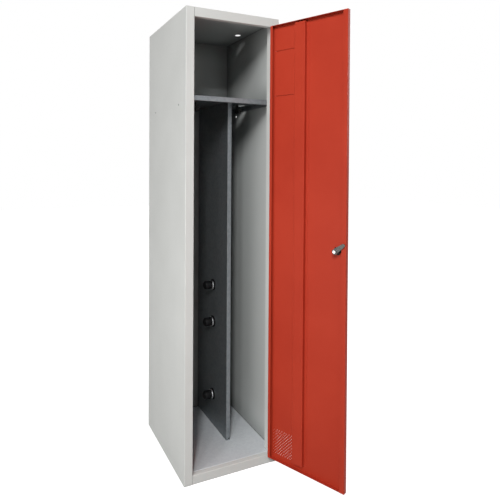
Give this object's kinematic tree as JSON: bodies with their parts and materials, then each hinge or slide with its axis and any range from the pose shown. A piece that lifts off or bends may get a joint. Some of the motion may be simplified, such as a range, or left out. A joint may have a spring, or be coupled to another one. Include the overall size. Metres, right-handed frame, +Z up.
{
  "type": "industrial locker",
  "caption": "Tall free-standing sheet-steel work locker with a vented hinged door on a cam lock, a hat shelf, an upright divider with pegs and coat hooks.",
  "frame": {"origin": "on the floor under the middle of the front face of the carcass", "axes": "+Z up, -Y out of the front, +X to the right when facing the front, the side the door is hinged on"},
  "size_m": [0.5023, 0.8013, 1.8],
  "materials": {
    "grey_coat": "light grey powder coat, satin",
    "red_coat": "red powder coat, satin",
    "black_plastic": "black moulded plastic",
    "bright_steel": "bright zinc-plated steel"
  },
  "bodies": {
    "carcass": {"left_side_panel": "grey_coat", "right_side_panel": "grey_coat", "back_panel": "grey_coat", "roof_panel": "grey_coat", "floor_panel": "grey_coat", "top_rail": "grey_coat", "bottom_rail": "grey_coat", "hat_shelf": "grey_coat", "vertical_divider": "grey_coat", "coat_hook_left": "bright_steel", "coat_hook_right": "bright_steel", "peg_1_flange": "black_plastic", "peg_1_collar": "bright_steel", "peg_1_knob": "black_plastic", "peg_2_flange": "black_plastic", "peg_2_collar": "bright_steel", "peg_2_knob": "black_plastic", "peg_3_flange": "black_plastic", "peg_3_collar": "bright_steel", "peg_3_knob": "black_plastic", "hinge_1_frame_leaf": "grey_coat", "hinge_2_frame_leaf": "grey_coat", "hinge_3_frame_leaf": "grey_coat", "hinge_1_pin": "bright_steel", "hinge_2_pin": "bright_steel", "hinge_3_pin": "bright_steel"},
    "door": {"door_skin": "red_coat", "door_stiffener": "red_coat", "hinge_1_door_leaf": "red_coat", "hinge_2_door_leaf": "red_coat", "hinge_3_door_leaf": "red_coat", "lock_barrel": "bright_steel", "lock_nut": "black_plastic"},
    "lock_cam": {"lock_plug": "bright_steel", "lock_cam": "bright_steel", "cam_bolt": "bright_steel"}
  },
  "joints": [
    {"name": "door_swing", "type": "hinge", "parent": "carcass", "child": "door", "pos_m": [0.171, -0.0048, 0.9], "axis": [0, 0, 1], "range_deg": [-114, 6]},
    {"name": "cam_turn", "type": "hinge", "parent": "door", "child": "lock_cam", "pos_m": [0.29058, -0.27338, 0.901], "axis": [-0.9135, -0.4067, 0], "range_deg": [-38, 52]}
  ]
}
